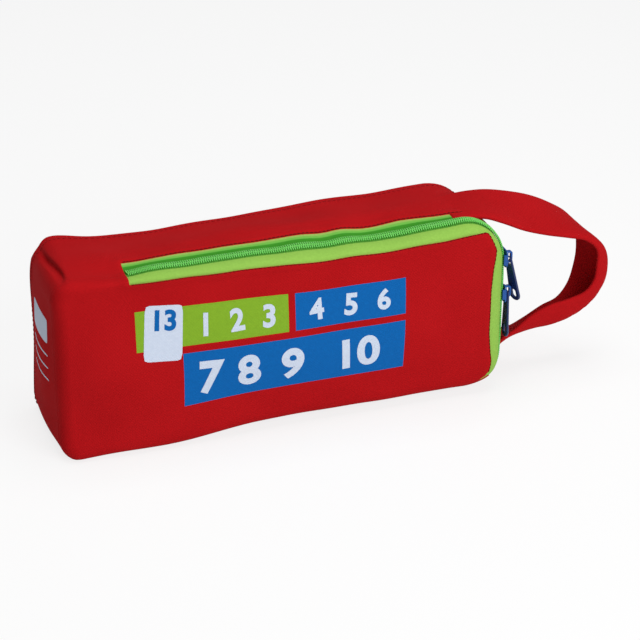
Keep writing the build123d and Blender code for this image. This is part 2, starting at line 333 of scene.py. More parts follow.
def cutFront(box):
    moved = box.copy()
    onFront = box[:, 1] < bag["front"] + 1e-6
    side, top, r = zipWay["clothSide"], zipWay["clothTop"], clothCut["corner"]
    a, b = box[:, 0] - (side - r), box[:, 2] - (top - r)
    pick = (a > 0) & (b > 0) & (a <= r + 1e-6) & (b <= r + 1e-6) & onFront
    shrink = np.maximum(a[pick], b[pick]) / np.hypot(a[pick], b[pick])
    moved[pick, 0] = side - r + a[pick] * shrink
    moved[pick, 2] = top - r + b[pick] * shrink
    for axis, across, edge, marks in ((0, 2, side, clothCut["side"]), (2, 0, top, clothCut["top"])):
        shift = np.interp(box[:, across], [m[0] for m in marks], [m[1] for m in marks])
        limit = (half, height)[axis // 2]
        share = smooth(box[:, axis], edge - clothCut["reach"], edge)
        share = np.where(box[:, axis] > edge, (limit - box[:, axis]) / (limit - edge), share)
        moved[:, axis] += np.where(onFront & (box[:, across] > marks[0][0] - 1e-6), shift * share, 0)
    return moved


def bagCells():
    nx, ny, nz = len(gridX) - 1, len(gridY) - 1, len(gridZ) - 1
    found = []
    for i in range(nx):
        for k in range(nz):
            found.append(("front", [(i, 0, k), (i + 1, 0, k), (i + 1, 0, k + 1), (i, 0, k + 1)]))
            found.append(("back", [(i + 1, ny, k), (i, ny, k), (i, ny, k + 1), (i + 1, ny, k + 1)]))
        for j in range(ny):
            found.append(("top", [(i, j, nz), (i + 1, j, nz), (i + 1, j + 1, nz), (i, j + 1, nz)]))
            found.append(("bottom", [(i, j + 1, 0), (i + 1, j + 1, 0), (i + 1, j, 0), (i, j, 0)]))
    for j in range(ny):
        for k in range(nz):
            found.append(("left", [(0, j + 1, k), (0, j, k), (0, j, k + 1), (0, j + 1, k + 1)]))
            found.append(("right", [(nx, j, k), (nx, j + 1, k), (nx, j + 1, k + 1), (nx, j, k + 1)]))
    return found


allCells = [(face, keys, np.mean([(gridX[i], gridY[j], gridZ[k]) for i, j, k in keys], axis=0))
            for face, keys in bagCells()]


def inWindow(face, spot, spare=0.0):
    x, y, z = spot
    if x < left - spare or z < foot - spare:
        return False
    if face == "front":
        return x > side - spare or z > top - spare
    return face in ("top", "right") and y < rear + spare


# which material a spot of the front cloth takes: 0 the cloth, 2 and 3 the inks
def inkAt(face, spot):
    for ink, x0, x1, z0, z1 in printBlocks:
        if face == "front" and x0 < spot[0] < x1 and z0 < spot[2] < z1:
            return {"blue": 2, "green": 3}[ink]
    return 0


seamGroove = {"depth": 0.6, "width": 1.6}


def cutSheet(name, cells, outer, inner, materials, lifted=False, front=False, tape=False):
    keys = sorted({key for _, quad, _ in cells for key in quad})
    index = {key: n for n, key in enumerate(keys)}
    box = np.array([(gridX[i], gridY[j], gridZ[k]) for i, j, k in keys])
    place, normal, inside = roundedBody(cutFront(box) if front else box, flatFront=front)
    rise = clothLift(box) if lifted else np.zeros(len(box))
    if lifted:
        rise -= seamGroove["depth"] * smooth(np.abs(box[:, 1] - backSeamY), seamGroove["width"], 0)
    points = np.vstack([soften(place + normal * (outer + rise)[:, None]), soften(place + normal * inner)])
    count = len(keys)
    faces, kinds, uvs = [], [], []
    edges = {}

    def spot(key, face):
        x, y, z = box[index[key]]
        if tape:
            alongTop = face == "top" or (face == "front" and height - z < half - x + 1e-6)
            across = y - middle if face != "front" else bag["front"] - middle - inside[index[key]]
            return (x if alongTop else half + height - z, across)
        return {"front": (x, z), "back": (-x, z), "top": (x, y), "bottom": (x, -y),
                "left": (-y, z), "right": (y, z)}[face]

    for face, quad, middleSpot in cells:
        ring = [index[key] for key in quad]
        faces.append(ring)
        kinds.append(inkAt(face, middleSpot) if front else 0)
        uvs += [spot(key, face) for key in quad]
        faces.append([n + count for n in reversed(ring)])
        kinds.append(1)
        uvs += [spot(key, face) for key in reversed(quad)]
        for a, b in zip(quad, quad[1:] + quad[:1]):
            edges[(a, b)] = face
    for (a, b), face in edges.items():
        if (b, a) not in edges:
            faces.append([index[b], index[a], index[a] + count, index[b] + count])
            kinds.append(0)
            uvs += [spot(b, face), spot(a, face), spot(a, face), spot(b, face)]
    return newPiece(name, points, faces, materials, uvs, kinds)


def linear(hexColour):
    parts = [int(hexColour[i:i + 2], 16) / 255 for i in (1, 3, 5)]
    return [c / 12.92 if c <= 0.04045 else ((c + 0.055) / 1.055) ** 2.4 for c in parts] + [1.0]


def addNode(tree, kind, settings=None, inputs=None):
    node = tree.nodes.new(kind)
    for key, value in (settings or {}).items():
        setattr(node, key, value)
    for key, value in (inputs or {}).items():
        if isinstance(value, bpy.types.NodeSocket):
            tree.links.new(value, node.inputs[key])
        else:
            node.inputs[key].default_value = value
    return node


def newMaterial(name):
    material = bpy.data.materials.new(name)
    material.use_nodes = True
    tree = material.node_tree
    tree.nodes.clear()
    return material, tree


def maths(tree, operation, a, b=0.0, c=0.5):
    return addNode(tree, "ShaderNodeMath", {"operation": operation}, {0: a, 1: b, 2: c}).outputs[0]


def noise(tree, vector, size, detail):
    return addNode(tree, "ShaderNodeTexNoise", None,
                   {"Vector": vector, "Scale": 1 / (size * mm), "Detail": detail}).outputs[0]


def wave(tree, value, period):
    return maths(tree, "SINE", maths(tree, "MULTIPLY", value, 2 * math.pi / (period * mm)))


def bump(tree, height, strength, distance):
    return addNode(tree, "ShaderNodeBump", None,
                   {"Height": height, "Strength": strength, "Distance": distance * mm}).outputs[0]


# a plain weave, with its threads that far apart
def plainWeave(tree, uv, thread):
    parts = addNode(tree, "ShaderNodeSeparateXYZ", None, {0: uv})
    warp, weft = (wave(tree, parts.outputs[i], 2 * thread) for i in (0, 1))
    return maths(tree, "MULTIPLY", warp, weft)


def mixColour(tree, amount, a, b):
    node = addNode(tree, "ShaderNodeMix", {"data_type": "RGBA"}, {"Factor": amount})
    for socket, value in (("A", a), ("B", b)):
        target = [s for s in node.inputs if s.name == socket and s.type == "RGBA"][0]
        if isinstance(value, bpy.types.NodeSocket):
            tree.links.new(value, target)
        else:
            target.default_value = value
    return [s for s in node.outputs if s.type == "RGBA"][0]


def finishMaterial(material, tree, inputs):
    shader = addNode(tree, "ShaderNodeBsdfPrincipled", None, inputs)
    addNode(tree, "ShaderNodeOutputMaterial", None, {"Surface": shader.outputs[0]})
    return material


def wovenCloth(name, look):
    material, tree = newMaterial(name)
    uv = addNode(tree, "ShaderNodeTexCoord").outputs["UV"]
    weave = maths(tree, "MULTIPLY_ADD", plainWeave(tree, uv, look["thread"]), 0.5, 0.5)
    slub = noise(tree, uv, look["slub"], 3.0)
    cloud = noise(tree, uv, look["cloud"], 2.0)
    shade = maths(tree, "MULTIPLY_ADD", slub, 0.5, -0.1)
    shade = maths(tree, "ADD", shade, maths(tree, "MULTIPLY", weave, look["weaveShade"]))
    colour = mixColour(tree, shade, linear(look["dark"]), linear(look["base"]))
    spread = addNode(tree, "ShaderNodeMapRange", None, {0: cloud, 1: 0.35, 2: 0.7, 3: 0.0, 4: look["cloudShare"]})
    colour = mixColour(tree, spread.outputs[0], colour, linear(look["faded"]))
    relief = maths(tree, "ADD", weave, maths(tree, "MULTIPLY", slub, 0.7))
    return finishMaterial(material, tree, {
        "Base Color": colour, "Roughness": look["roughness"], "Sheen Weight": look["sheen"], "Sheen Roughness": 0.4,
        "Specular IOR Level": 0.03, "Normal": bump(tree, relief, look["bump"], look["relief"])})


# woven polyester: matt, with a faint pile that catches light at grazing angles
redCloth = {"thread": 0.9, "slub": 1.6, "cloud": 38, "base": "#ba151a", "dark": "#9c1014",
            "faded": "#ba181d", "cloudShare": 0.3, "weaveShade": 0.35, "bump": 0.5, "relief": 0.18,
            "roughness": 0.9, "sheen": 0.012}
redPolyester = wovenCloth("wovenPolyesterRed", redCloth)
liningTaffeta = wovenCloth("liningTaffetaRed", {
    **redCloth, "thread": 0.7, "base": "#8a1220", "dark": "#640c16", "faded": "#8e1a26", "sheen": 0.05})
bindingTape = wovenCloth("bindingTapeMaroon", {
    **redCloth, "thread": 1.1, "base": "#6e1420", "dark": "#4c0d16", "faded": "#741a26", "sheen": 0.05})
strapCloth = wovenCloth("wovenPolyesterStrap", {**redCloth, "slub": 2.2})


def zipTapeCloth(name, look):
    material, tree = newMaterial(name)
    uv = addNode(tree, "ShaderNodeTexCoord").outputs["UV"]
    parts = addNode(tree, "ShaderNodeSeparateXYZ", None, {0: uv})
    along, across = parts.outputs[0], parts.outputs[1]
    ribs, picks = wave(tree, across, look["rib"]), wave(tree, along, look["pick"])
    weave = maths(tree, "MULTIPLY_ADD", maths(tree, "ADD", ribs, maths(tree, "MULTIPLY", picks, 0.5)), 0.33, 0.5)
    slub = noise(tree, uv, look["slub"], 2.0)
    # bands of colour across the tape: its lime, painted shade along the chain (deepest on the rear side) and a painted
    # highlight on the folded rear edge
    first, last = look["bandsWithPaintedShadeAndHighlight"][0][0], look["bandsWithPaintedShadeAndHighlight"][-1][0]
    share = addNode(tree, "ShaderNodeMapRange", None, {0: across, 1: first * mm, 2: last * mm}).outputs[0]
    ramp = addNode(tree, "ShaderNodeValToRGB", None, {0: share})
    stops = ramp.color_ramp.elements
    for n, (distance, hexColour) in enumerate(look["bandsWithPaintedShadeAndHighlight"]):
        place = (distance - first) / (last - first)
        stop = stops[0] if n == 0 else stops[-1] if place == 1 else stops.new(place)
        stop.position, stop.color = place, linear(hexColour)
    worn = maths(tree, "ADD", slub, maths(tree, "MULTIPLY", weave, 0.3))
    shade = maths(tree, "MULTIPLY_ADD", worn, -look["mottle"], look["mottle"])
    colour = mixColour(tree, shade, ramp.outputs[0], linear(look["dark"]))
    # the stitches that hold the chain show as dark dots
    dots = maths(tree, "MULTIPLY_ADD", wave(tree, along, look["stitch"]), 0.3, 0.5)
    line = maths(tree, "COMPARE", across, look["stitchAt"] * mm, look["stitchWide"] / 2 * mm)
    colour = mixColour(tree, maths(tree, "MULTIPLY", line, dots), colour, linear(look["stitchDark"]))
    return finishMaterial(material, tree, {
        "Base Color": colour, "Roughness": 0.85, "Sheen Weight": 0.02, "Sheen Roughness": 0.4,
        "Specular IOR Level": 0.05, "Normal": bump(tree, weave, 0.4, 0.12)})


# woven polyester zip tape: ribbed along its length, darker where the chain's stitch rows run, with painted shade along
# the chain and a painted highlight on its folded rear edge
limeTape = zipTapeCloth("zipTapeLime", {
    "rib": 1.3, "pick": 1.82, "slub": 2.0, "mottle": 0.35, "dark": "#5f8a2e",
    # from -4.4 to 6.8 mm the dark green is painted shade of the chain over its stitch rows; from 9.4 mm on, the pale
    # green is a painted highlight of the folded edge
    "bandsWithPaintedShadeAndHighlight": [(-14.0, "#90be52"), (-5.0, "#8fbe52"), (-4.4, "#63a83c"), (0.0, "#2f8722"), (6.8, "#338a25"),
              (7.4, "#68b549"), (8.8, "#74b94e"), (9.4, "#9ab75e"), (11.0, "#9ab75e")],
    "stitch": 1.5, "stitchAt": -4.1, "stitchWide": 1.2, "stitchDark": "#235c14"})


def mouldedNylon(name, base, dark, roughness, grain, gloss=0.5):
    material, tree = newMaterial(name)
    place = addNode(tree, "ShaderNodeTexCoord").outputs["Object"]
    cloud = noise(tree, place, grain, 2.0)
    return finishMaterial(material, tree, {
        "Base Color": mixColour(tree, cloud, linear(dark), linear(base)), "Roughness": roughness, "IOR": 1.53,
        "Specular IOR Level": gloss, "Normal": bump(tree, cloud, 0.1, 0.05)})


# nylon monofilament: smooth, a little glossy
coilNylon = mouldedNylon("coilNylonGreen", "#6cd054", "#58ba44", 0.42, 2.0)
stitchThread = mouldedNylon("threadGreen", "#237a26", "#1a661e", 0.7, 0.8, gloss=0.2)
redThread = mouldedNylon("threadRed", "#98141a", "#861016", 0.9, 0.8, gloss=0.1)
# dark brown thread for the stitches at the zip's cloth edges: its colour is a painted shadow of the crevice between
# cloth and tape
edgeThreadShadowLine = mouldedNylon("threadBrownShadowLine", "#6a1210", "#5a0e0c", 0.9, 0.8, gloss=0.1)


def sprayedLacquer(name, base, dark, roughness):
    material, tree = newMaterial(name)
    place = addNode(tree, "ShaderNodeTexCoord").outputs["Object"]
    peel, cloud = noise(tree, place, 0.9, 2.0), noise(tree, place, 5, 3.0)
    return finishMaterial(material, tree, {
        "Base Color": mixColour(tree, cloud, linear(dark), linear(base)), "Roughness": roughness, "IOR": 1.5,
        "Coat Weight": 0.2, "Coat Roughness": 0.2, "Specular IOR Level": 0.3, "Normal": bump(tree, peel, 0.15, 0.04)})


# die-cast zinc under coloured lacquer
sliderLacquer = sprayedLacquer("lacquerBlue", "#0450a0", "#03438a", 0.4)
pullLacquer = sprayedLacquer("lacquerNavy", "#1a2e66", "#132350", 0.4)


def printedInk(name, base, dark):
    material, tree = newMaterial(name)
    uv = addNode(tree, "ShaderNodeTexCoord").outputs["UV"]
    cloud = noise(tree, uv, 2.4, 3.0)
    weave = plainWeave(tree, uv, redCloth["thread"])
    return finishMaterial(material, tree, {
        "Base Color": mixColour(tree, cloud, linear(dark), linear(base)), "Roughness": 0.75,
        "Specular IOR Level": 0.1, "Normal": bump(tree, weave, 0.25, 0.1)})


# screen-printed ink: lies on the threads, so the weave still shows through it
inkBlue = printedInk("screenInkBlue", "#0462ac", "#03589e")
inkGreen = printedInk("screenInkGreen", "#83ad2a", "#769f26")
inkWhite = printedInk("screenInkWhite", "#ccd6e6", "#bdc9dc")


def foldWithFlap(piece):
    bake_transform(piece)


def isFrontCloth(face, spot):
    return (face == "front" or (face != "back" and spot[1] < seamY)) and not inWindow(face, spot)


frontCells = [c for c in allCells if isFrontCloth(c[0], c[2])]
shellCells = [c for c in allCells if not isFrontCloth(c[0], c[2]) and not inWindow(c[0], c[2])]

frontCloth = cutSheet("front_cloth", frontCells, 0.0, -bag["wall"],
                      [redPolyester, liningTaffeta, inkBlue, inkGreen], lifted=True, front=True)
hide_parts("front_panel", "front_flap_panel")
foldWithFlap(frontCloth)

shellCloth = cutSheet("shell_cloth", shellCells, 0.0, -bag["wall"], [redPolyester, liningTaffeta], lifted=True)
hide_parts("back_panel", "top_panel", "bottom_panel", "left_end_panel", "right_end_panel")
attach(shellCloth, "case")

# cloth tape sewn over the raw edges inside, folded flat against the wall
binding = {"width": 8.0, "wall": 1.2, "ease": 0.35, "step": 3.0}


def outlineWalk(corners, step):
    spots = []
    for (x0, z0), (x1, z1) in zip(corners, corners[1:]):
        count = max(1, round(math.hypot(x1 - x0, z1 - z0) / step))
        spots += [(x0 + (x1 - x0) * i / count, z0 + (z1 - z0) * i / count) for i in range(count)]
    return np.array(spots + [corners[-1]])


def bindingStrip(name, y0, corners):
    step = binding["step"]
    walk = outlineWalk(corners, step)
    closed = corners[0] == corners[-1]
    if closed:
        walk = walk[:-1]
    w, t, e = binding["width"], binding["wall"], binding["ease"]
    section = [(e, 0), (w / 2, 0), (w - e, 0), (w, e), (w, t - e), (w - e, t), (w / 2, t * 1.15), (e, t),
               (0, t - e), (0, e)]
    places, marks = [], []
    around = lengthAlong(section)
    for across, deep in section:
        box = np.stack([walk[:, 0], np.full(len(walk), y0 + across), walk[:, 1]], 1)
        place, normal, _ = roundedBody(box)
        places.append(soften(place - normal * (bag["wall"] + deep)))
    count, size = len(walk), len(section)
    points = np.stack(places, 1).reshape(-1, 3)
    faces = []
    for n in range(count if closed else count - 1):
        ahead = (n + 1) % count
        for k in range(size):
            j = (k + 1) % size
            faces.append([n * size + k, ahead * size + k, ahead * size + j, n * size + j])
            far = around[-1] + 1 if j == 0 else around[j]
            here, there = n * step, (n + 1) * step
            marks += [(here, around[k]), (there, around[k]), (there, far), (here, far)]
    if not closed:
        faces += [list(range(size)), [(count - 1) * size + k for k in reversed(range(size))]]
        marks += [(0, a) for a in around] + [(0, a) for a in around[::-1]]
    strip = newPiece(name, points, faces, [bindingTape], marks)
    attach(strip, "case")
    return strip


loop = [(-half, height), (-half, 0), (half, 0), (half, height), (-half, height)]
backBinding = bindingStrip("back_binding", backSeamY - binding["width"], loop)
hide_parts("back_seam_binding")
frontBinding = bindingStrip("front_binding", seamY, [(left, height), *loop[:3], (half, foot)])
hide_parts("front_seam_binding")

# figures and a numbered tile, printed over the blocks
figures = [
    ("1", -47.5, 68.0, 12.5, -3), ("2", -28.5, 68.5, 12.5, 3), ("3", -10.5, 68.0, 13.0, -2),
    ("4", 18.0, 68.5, 12.5, 3), ("5", 38.0, 68.0, 13.0, -3), ("6", 58.0, 68.5, 12.5, 2),
    ("7", -46.0, 32.5, 21.5, -2), ("8", -22.0, 33.5, 20.5, 3), ("9", 2.5, 32.5, 21.5, -3),
    ("10", 42.5, 33.0, 21.0, 2),
]
figureTiles = [(-71.0, 72.5, 21.0, 30.0, -5, "13")]
inkLook = {"lift": 0.16, "under": 0.4, "tileRound": 2.2, "slice": 5.0, "bold": 0.035, "figure": 11.5}


def turned(shape, x, z, degrees, up=0.0):
    points, faces = shape
    points = np.asarray(points, float) + (0, up)
    a = math.radians(degrees)
    return np.stack([x + points[:, 0] * math.cos(a) - points[:, 1] * math.sin(a),
                     z + points[:, 0] * math.sin(a) + points[:, 1] * math.cos(a)], 1), faces


# the flat mesh of a figure, its foot's middle at the origin, cut up so that it follows the cloth
def figureMesh(text, tall):
    curve = bpy.data.curves.new("figure", "FONT")
    curve.body = text
    curve.align_x = "CENTER"
    curve.offset = inkLook["bold"]
    curve.resolution_u = 6
    lettering = bpy.data.objects.new("figure", curve)
    mesh = bpy.data.meshes.new_from_object(lettering)
    bpy.data.objects.remove(lettering)
    bpy.data.curves.remove(curve)
    work = bmesh.new()
    work.from_mesh(mesh)
    bpy.data.meshes.remove(mesh)
    bmesh.ops.remove_doubles(work, verts=work.verts, dist=1e-5)
    low = min(v.co.y for v in work.verts)
    scale = tall / (max(v.co.y for v in work.verts) - low)
    for vert in work.verts:
        vert.co = Vector((vert.co.x * scale, (vert.co.y - low) * scale, 0))
    for normal in (Vector((1, 0, 0)), Vector((0, 1, 0))):
        for n in range(-6, 7):
            bmesh.ops.bisect_plane(work, geom=work.verts[:] + work.edges[:] + work.faces[:],
                                   plane_co=normal * (n * inkLook["slice"]), plane_no=normal)
    work.verts.ensure_lookup_table()
    points = [(v.co.x, v.co.y) for v in work.verts]
    faces = [[v.index for v in face.verts] for face in work.faces]
    upward = [face.normal.z > 0 for face in work.faces]
    work.free()
    return points, [face if up else face[::-1] for face, up in zip(faces, upward)]


def tileMesh(wide, tall, r, cells=8):
    marks = np.linspace(-1, 1, cells + 1)
    points = []
    for b in marks:
        for a in marks:
            x, z = a * wide / 2, b * tall / 2
            overX, overZ = abs(x) - (wide / 2 - r), abs(z) - (tall / 2 - r)
            if overX > 0 and overZ > 0:
                shrink = max(overX, overZ) / math.hypot(overX, overZ)
                x = math.copysign(wide / 2 - r + overX * shrink, x)
                z = math.copysign(tall / 2 - r + overZ * shrink, z)
            points.append((x, z))
    starts = [j * (cells + 1) + i for j in range(cells) for i in range(cells)]
    return points, [[n, n + 1, n + cells + 2, n + cells + 1] for n in starts]


# a closed slip of ink over flat shapes on one side of the bag
def inkSlip(name, shapes, lay, lift, material):
    points, faces, marks = [], [], []
    for spots, polygons in shapes:
        count, base = len(spots), len(points)
        place, normal, _ = roundedBody(lay(spots))
        points += [*soften(place + normal * lift), *soften(place - normal * inkLook["under"])]
        rims = {}
        for ring in polygons:
            faces.append([base + n for n in ring])
            marks += [spots[n] for n in ring]
            faces.append([base + count + n for n in reversed(ring)])
            marks += [spots[n] for n in reversed(ring)]
            for a, b in zip(ring, ring[1:] + ring[:1]):
                rims[(a, b)] = True
        for a, b in rims:
            if (b, a) not in rims:
                faces.append([base + b, base + a, base + count + a, base + count + b])
                marks += [spots[b], spots[a], spots[a], spots[b]]
    slip = newPiece(name, points, faces, [material], marks, flat=True)
    return slip


def onFront(spots):
    return np.stack([spots[:, 0], np.full(len(spots), bag["front"]), spots[:, 1]], 1)


def onLeftEnd(spots):
    return np.stack([np.full(len(spots), -half), -spots[:, 0], spots[:, 1]], 1)


# a blank patch for a name on the left end, and three ruled lines under it: middle y and z, width, height
namePatch = [(0, 74, 34, 15), (0, 59, 34, 0.9), (0, 51, 34, 0.9), (0, 43, 34, 0.9)]
whiteShapes = [turned(figureMesh(text, tall), x, z, tilt) for text, x, z, tall, tilt in figures]
tileShapes, darkShapes = [], []
for x, z, wide, tall, tilt, text in figureTiles:
    tileShapes.append(turned(tileMesh(wide, tall, inkLook["tileRound"]), x, z, tilt))
    darkShapes.append(turned(figureMesh(text, inkLook["figure"]), x, z, tilt, up=1.0))
patchShapes = [turned(tileMesh(wide, tall, min(1.5, tall / 2.2)), -y, z, 0) for y, z, wide, tall in namePatch]
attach(inkSlip("print_name_patch", patchShapes, onLeftEnd, inkLook["lift"], inkWhite), "case")
for slip in (inkSlip("print_figures", whiteShapes, onFront, inkLook["lift"], inkWhite),
             inkSlip("print_tile", tileShapes, onFront, inkLook["lift"], inkWhite),
             inkSlip("print_tile_figure", darkShapes, onFront, 2 * inkLook["lift"], inkBlue)):
    foldWithFlap(slip)

print("cloth:", len(frontCloth.data.polygons) + len(shellCloth.data.polygons), "faces")

tapeCells = [c for c in allCells if inWindow(c[0], c[2], zipWay["tapeUnder"])]
rearTapeCells = [c for c in tapeCells if c[0] != "front" and c[2][1] > middle + 0.3]
frontTapeCells = [c for c in tapeCells if c[0] == "front" or c[2][1] < middle - 0.3]
sink, under = -zipWay["tapeSink"], -zipWay["tapeSink"] - zipWay["tapeWall"]
rearTape = cutSheet("zip_tape_rear", rearTapeCells, sink, under, [limeTape, limeTape], tape=True)
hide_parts("zipper_tape_rear")
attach(rearTape, "case")
frontTape = cutSheet("zip_tape_front", frontTapeCells, sink, under, [limeTape, limeTape], tape=True)
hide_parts("zipper_tape_front")
foldWithFlap(frontTape)
print("zip tape:", len(rearTape.data.polygons) + len(frontTape.data.polygons), "faces")


chain = {
    "pitch": 1.27,
    "outer": 2.75,
    "profile": [(2.75, -0.3), (2.75, 0.35), (2.25, 0.8), (1.1, 0.8), (0.1, 0.7), (-0.5, 0.35)],  # across, and up
    "wire": 0.5,
    "lean": 0.18,
    "openAt": 73,  # the two rows part between the sliders
    "openHalf": 12,
    "open": 1.0,
}
# the chain's middle, along the top and down the handle end
chainBox = [(x, middle, height) for x in np.arange(left, half, 0.5)]
chainBox += [(half, middle, z) for z in np.arange(height, foot, -0.5)]
chainPlace, chainNormal, _ = roundedBody(chainBox)
chainLength = lengthAlong(chainPlace)


def tubes(name, centres, frames, radius, sides, material):
    points, faces = [], []
    for line, (sideways, outward) in zip(centres, frames):
        base = len(points)
        for n, point in enumerate(line):
            r = radius * (0.55 if n in (0, len(line) - 1) else 1)  # its ends taper
            for s in range(sides):
                turn = 2 * math.pi * s / sides
                points.append(point + sideways[n] * (r * math.cos(turn)) + outward[n] * (r * math.sin(turn)))
        for n in range(len(line) - 1):
            for s in range(sides):
                a, b = base + n * sides + s, base + n * sides + (s + 1) % sides
                faces.append([a, b, b + sides, a + sides])
        faces.append([base + s for s in reversed(range(sides))])
        last = base + (len(line) - 1) * sides
        faces.append([last + s for s in range(sides)])
    return newPiece(name, soften(np.array(points)), faces, [material])


def coilRow(name, sign, shift):
    count = int((chainLength[-1] - 2) / chain["pitch"])
    distances = 1 + shift + chain["pitch"] * np.arange(count)
    at = sampleLine(distances, chainLength, chainPlace)
    out = unit(sampleLine(distances, chainLength, chainNormal))
    ahead = np.cross(np.array([0, 1.0, 0]), out)
    across = np.array([0, sign, 0.0])
    centres, frames = [], []
    for place, normal, forward in zip(at, out, ahead):
        onEnd = place[0] > half - 8
        spread = chain["open"] * hump(place[2], chain["openAt"], chain["openHalf"]) if onEnd else 0
        line = []
        for a, h in chain["profile"]:
            slope = chain["lean"] * (chain["outer"] - a) / chain["outer"] * chain["pitch"]
            line.append(place + across * (a + spread) + normal * h + forward * slope)
        onward = unit(np.array([b - a for a, b in zip(line[:1] + line[:-1], line[1:] + line[-1:])]))
        centres.append(line)
        frames.append(([forward] * len(line), np.cross(onward, forward)))
    return tubes(name, centres, frames, chain["wire"], 6, coilNylon)


rearCoil = coilRow("zip_coil_rear", 1, 0.0)
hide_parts("zipper_coil_rear")
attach(rearCoil, "case")
frontCoil = coilRow("zip_coil_front", -1, chain["pitch"] / 2)
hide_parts("zipper_coil_front")
foldWithFlap(frontCoil)
print("chain:", len(rearCoil.data.polygons) + len(frontCoil.data.polygons), "faces")

# stitching: one small arched thread for each stitch, along lines of spots on the bag
stitching = {
    "seam": (2.6, 3.1, 0.3, 0.22),  # length, pitch, thickness and rise
    "edge": (2.7, 2.5, 0.3, 0.22),
    "chain": (1.0, 1.5, 0.2, -0.08),
    "inset": 0.25,
    "chainOff": 3.8,
    "sliderWay": 50,
}


def evenSpots(place, normal, pitch):
    length = lengthAlong(place)
    at = np.arange(pitch / 2, length[-1], pitch)
    spots, out = sampleLine(at, length, place), sampleLine(at, length, normal)
    ahead = sampleLine(at + 0.1, length, place) - spots
    kept = np.linalg.norm(ahead, axis=1) > 1e-6
    return spots[kept], unit(out[kept]), unit(ahead[kept])


def stitchLine(name, row, look, material, sink=0.0):
    place, normal = row
    length, pitch, thread, rise = look
    centres, frames = [], []
    for spot, out, ahead in zip(*evenSpots(place, normal, pitch)):
        heights = (-0.25, rise * 0.8, rise, rise * 0.8, -0.25)
        centres.append([spot + ahead * (length * (k / 4 - 0.5)) + out * (h - sink) for k, h in enumerate(heights)])
        frames.append(([np.cross(out, ahead)] * 5, [out] * 5))
    stitches = tubes(name, centres, frames, thread, 5, material)
    return stitches


def onEdges(spots, front=False):
    box = np.array(spots, float)
    place, normal, _ = roundedBody(cutFront(box) if front else box, flatFront=front)
    return place + normal * clothLift(box)[:, None], normal


inset = stitching["inset"]
alongTop = np.arange(left + 1, side - inset, 1.0)
downSide = np.arange(top - inset, foot + 9, -1.0)
frontLine = [(x, bag["front"], top - inset) for x in alongTop]
frontLine += [(side - inset, bag["front"], z) for z in downSide]
rearLine = [(x, rear + inset, z) for x, z in outlineWalk([(left + 1, height), (half, height), (half, foot)], 1.0)]
seamLine = [(x, backSeamY - 3.0, z) for x, z in outlineWalk(loop, 1.0)]
# the edge stitches are longer than their pitch, so they run together into one dark line: real topstitching, coloured as
# a painted shadow along the cloth's edge by the tape
foldWithFlap(stitchLine("stitches_front", onEdges(frontLine, front=True), stitching["edge"], edgeThreadShadowLine))
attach(stitchLine("stitches_rear", onEdges(rearLine), stitching["edge"], edgeThreadShadowLine), "case")
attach(stitchLine("stitches_seam", onEdges(seamLine), stitching["seam"], redThread), "case")
walk = outlineWalk([(left + 0.5, height), (half, height), (half, foot + 0.5)], 1.0)
for name, sign in (("chain_stitches_rear", 1), ("chain_stitches_front", -1)):
    # none in front where the lower slider goes
    spots = [spot for spot in walk if sign > 0 or spot[0] < half - 1 or spot[1] > stitching["sliderWay"]]
    place, normal, _ = roundedBody([(x, middle + sign * stitching["chainOff"], z) for x, z in spots])
    row = stitchLine(name, (place, normal), stitching["chain"], stitchThread, sink=zipWay["tapeSink"])
    if sign > 0:
        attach(row, "case")
    else:
        foldWithFlap(row)
print("stitching done")

# Three lines along the strap, each station from the top root round the bend to the lower root:
# its far edge, the ridge where it turns, and its near edge, which curls in.
strap = {"wall": 2.6, "step": 2.4, "across": 18, "seamDepth": 0.7, "seamAt": 0.5, "seamWidth": 0.9,
         "bendStart": 146, "bendEnd": 158}
strapStations = [
    ((106, 9.5, 110.4), (106, -17, 110.2), (106, -20.5, 110)),
    ((118, 9.5, 110.9), (118, -17, 110.2), (118, -20.5, 109.9)),
    ((127, 9.5, 111.2), (127, -17, 109.3), (127, -20.5, 108.6)),
    ((138.1, 9.5, 110.5), (138.1, -17, 105.3), (138.1, -20.5, 104)),
    ((152.5, 9.5, 107.3), (151.4, -17, 98.6), (151.4, -20.5, 97.4)),
    ((166.5, 9.5, 102.8), (166, -17, 93.4), (166, -20.5, 92.2)),
    ((179.5, 9.5, 96.3), (181, -17, 89.4), (181, -20.5, 88)),
    ((191, 9, 88.2), (194.5, -17.5, 84.8), (192, -21, 84.6)),
    ((198.1, 7, 78), (203.9, -18, 76.2), (199.5, -21.5, 77)),
    ((199.1, 5, 66.5), (206.9, -18, 65.6), (200.1, -21.5, 66)),
    ((197.9, 5, 54.5), (205.7, -18, 54.2), (198.9, -21.5, 56.5)),
    ((194.1, 4.5, 42.5), (198.9, -17.5, 42.4), (193.5, -21.5, 49.5)),
    ((186.5, 3, 34.5), (188.1, -17, 34.4), (183, -21.5, 46)),
    ((176, 2, 31), (175.1, -16, 29.8), (170, -21, 43.4)),
    ((164, 1.5, 25), (162, -16, 29), (158.5, -20.5, 38)),
    ((153, 2, 20.2), (151.9, -16.5, 27.6), (148.6, -20.5, 30.8)),
    ((143.1, 7, 19.4), (143.1, -17, 25.6), (140.9, -20.5, 26.4)),
    ((136.4, 9.5, 20.8), (136.4, -17, 23.0), (136.4, -20.5, 23.2)),
    ((132.7, 9.5, 20.6), (132.7, -17, 22.6), (132.7, -20.5, 22)),
]


